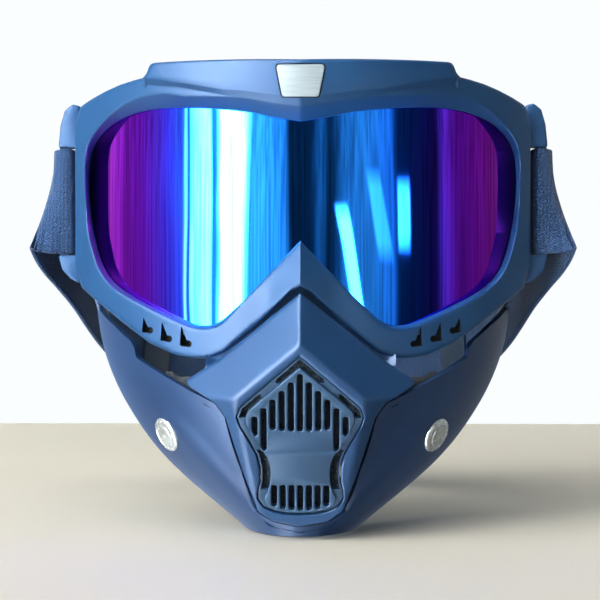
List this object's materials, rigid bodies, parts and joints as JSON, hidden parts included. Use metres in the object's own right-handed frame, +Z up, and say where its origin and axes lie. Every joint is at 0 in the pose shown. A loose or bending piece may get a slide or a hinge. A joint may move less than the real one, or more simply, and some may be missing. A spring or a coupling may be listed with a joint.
{
  "type": "motorcycle goggles",
  "caption": "Wide riding goggles with a curved mirrored lens, an elastic head strap and a clip-on lower face mask with a slotted mouth grille.",
  "frame": {"origin": "centre plane, on the face foam at the brow where it meets the wearer, at the height of the eyes", "axes": "+X to the right as seen from the front, +Y from the lens back to the wearer's face, +Z up"},
  "size_m": [0.208, 0.1788, 0.168],
  "materials": {
    "frame_plastic": "satin moulded thermoplastic, blue-grey",
    "skirt_rubber": "soft matt moulded skirt, dark",
    "lens_mirror": "polycarbonate with a blue to purple mirror coating",
    "badge_silver": "satin silver, blank",
    "seal_foam": "open-cell foam",
    "seal_lining": "fleece",
    "vent_foam": "open-cell foam",
    "strap_webbing": "woven elastic",
    "slider_plastic": "moulded",
    "mask_shell": "soft-touch moulded shell",
    "mask_panel": "satin moulded panel",
    "grille_plastic": "satin moulded grille",
    "filter_foam": "open-cell filter foam",
    "filter_cover": "moulded retainer",
    "pad_fabric": "fabric-faced foam",
    "rivet_steel": "pressed cap"
  },
  "bodies": {
    "goggles": {"frame_front": "frame_plastic", "frame_rear": "skirt_rubber", "lens": "lens_mirror", "badge": "badge_silver", "face_foam": "seal_foam", "face_lining": "seal_lining", "vent_foam_top": "vent_foam", "vent_foams_bottom": "vent_foam", "strap_end_left": "strap_webbing", "strap_end_right": "strap_webbing"},
    "mask": {"cheek_shell": "mask_shell", "snout_panel": "mask_panel", "filter_foam": "filter_foam", "filter_cover": "filter_cover", "cheek_pad_left": "pad_fabric", "cheek_pad_right": "pad_fabric", "rivet_caps": "rivet_steel", "rivet_washers": "rivet_steel"},
    "grille": {"mouth_grille": "grille_plastic"},
    "strap": {"strap_band": "strap_webbing"},
    "left_slider": {"slider_left": "slider_plastic"},
    "right_slider": {"slider_right": "slider_plastic"}
  },
  "joints": [
    {"name": "mask_slide", "type": "slide", "parent": "goggles", "child": "mask", "axis": [0, 0, -1], "range_m": [0, 0.05]},
    {"name": "grille_slide", "type": "slide", "parent": "mask", "child": "grille", "axis": [0, -0.9811, -0.1933], "range_m": [0, 0.02]},
    {"name": "strap_swing", "type": "hinge", "parent": "goggles", "child": "strap", "pos_m": [0, 0.003, 0.00775], "axis": [1, 0, 0], "range_deg": [0, 55]},
    {"name": "left_slider_shift", "type": "hinge", "parent": "strap", "child": "left_slider", "pos_m": [0, 0.03154, -0.01454], "axis": [0, 0.6157, 0.788], "range_deg": [-7, 7]},
    {"name": "right_slider_shift", "type": "hinge", "parent": "strap", "child": "right_slider", "pos_m": [0, 0.03154, -0.01454], "axis": [0, 0.6157, 0.788], "range_deg": [-7, 7]}
  ]
}
